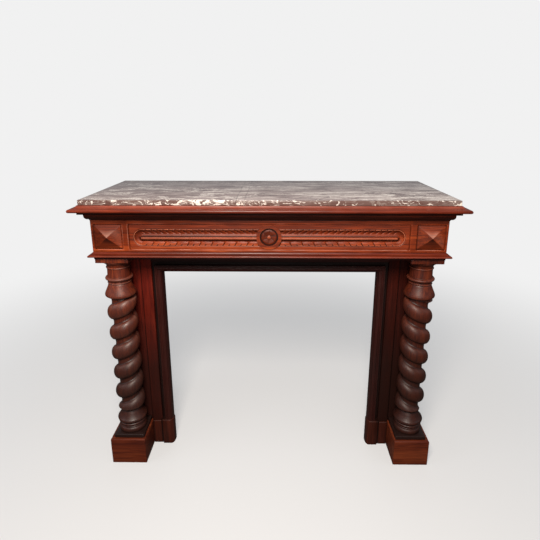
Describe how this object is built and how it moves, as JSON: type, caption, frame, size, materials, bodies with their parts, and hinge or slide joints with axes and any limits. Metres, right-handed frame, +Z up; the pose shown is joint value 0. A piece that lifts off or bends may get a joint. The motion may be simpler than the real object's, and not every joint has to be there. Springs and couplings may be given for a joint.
{
  "type": "fireplace mantel",
  "caption": "Carved walnut fireplace surround with barley-twist columns, a carved frieze and a marble shelf.",
  "frame": {"origin": "on the floor, under the middle of the mantel's box", "axes": "+X to the right of someone who faces the mantel, +Y back to the wall, +Z up"},
  "size_m": [1.344, 0.496, 1.08],
  "materials": {
    "marble": "polished red-brown marble with white veins",
    "moulding_walnut": "french-polished walnut, stained red-brown",
    "frieze_walnut": "french-polished walnut, stained red-brown",
    "carved_walnut": "carved walnut, waxed, dark in the hollows",
    "column_walnut": "turned and carved walnut, polished, worn grey on the crests",
    "plinth_walnut": "walnut block, waxed",
    "jamb_walnut": "walnut boards, waxed",
    "surround_walnut": "reeded walnut moulding, dark"
  },
  "bodies": {
    "root": {"marble_top": "marble", "cornice_front": "moulding_walnut", "cornice_left": "moulding_walnut", "cornice_right": "moulding_walnut", "frieze_front": "frieze_walnut", "frieze_left": "frieze_walnut", "frieze_right": "frieze_walnut", "frieze_panel": "carved_walnut", "roundel": "carved_walnut", "diamond_left": "frieze_walnut", "diamond_right": "frieze_walnut", "bed_moulding_front": "moulding_walnut", "bed_moulding_left": "moulding_walnut", "bed_moulding_right": "moulding_walnut", "soffit_board": "moulding_walnut", "column_left": "column_walnut", "column_right": "column_walnut", "plinth_left": "plinth_walnut", "plinth_right": "plinth_walnut", "pilaster_left": "jamb_walnut", "pilaster_right": "jamb_walnut", "pilaster_foot_left": "jamb_walnut", "pilaster_foot_right": "jamb_walnut", "back_board_left": "jamb_walnut", "back_board_right": "jamb_walnut", "return_board_left": "jamb_walnut", "return_board_right": "jamb_walnut", "lintel": "jamb_walnut", "surround_left": "surround_walnut", "surround_right": "surround_walnut", "surround_top": "surround_walnut", "surround_foot_left": "surround_walnut", "surround_foot_right": "surround_walnut"}
  },
  "joints": []
}
